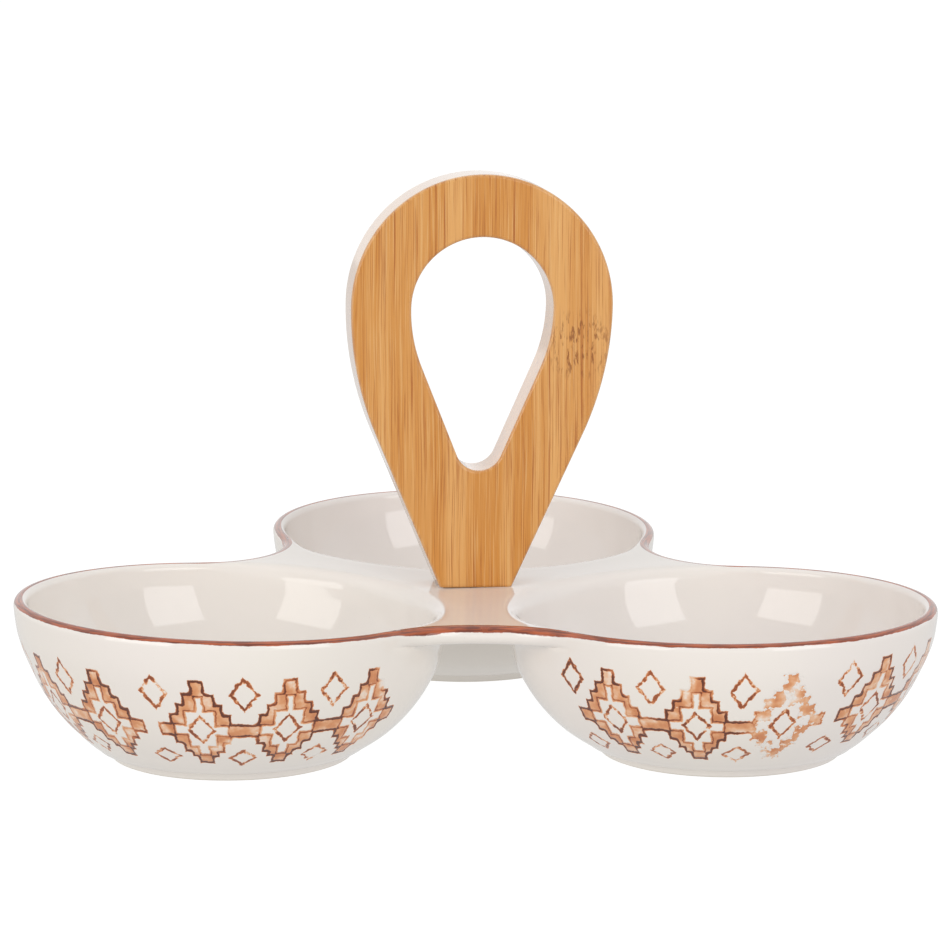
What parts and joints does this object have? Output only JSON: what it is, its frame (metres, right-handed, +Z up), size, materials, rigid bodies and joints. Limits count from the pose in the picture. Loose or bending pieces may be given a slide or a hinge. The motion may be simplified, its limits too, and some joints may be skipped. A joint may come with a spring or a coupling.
{
  "type": "divided serving bowl",
  "caption": "Trefoil serving dish of joined round glazed bowls with a painted rim and stepped-lozenge bands, carried by an upright bamboo loop handle screwed to its centre.",
  "frame": {"origin": "centre of the bounding box's bottom face, on the surface that the dish stands on", "axes": "+Z up, +Y towards the bowl behind the handle, +X to the right along the line of the two front bowls"},
  "size_m": [0.2682, 0.249, 0.1666],
  "materials": {
    "glaze": "glossy cream glaze with brown painted rim and stamped lozenge band",
    "bamboo": "satin oiled bamboo board",
    "brass": "plain turned",
    "steel": "bright zinc plated",
    "rubber": "matt"
  },
  "bodies": {
    "dish": {"dish": "glaze", "rubber_washer": "rubber"},
    "handle": {"handle": "bamboo", "threaded_insert": "brass", "handle_screw": "steel", "flat_washer": "steel"}
  },
  "joints": [
    {"name": "handle_swivel", "type": "hinge", "parent": "dish", "child": "handle", "pos_m": [0, -0.0206, 0.041], "axis": [0, 0, 1], "continuous": true}
  ]
}
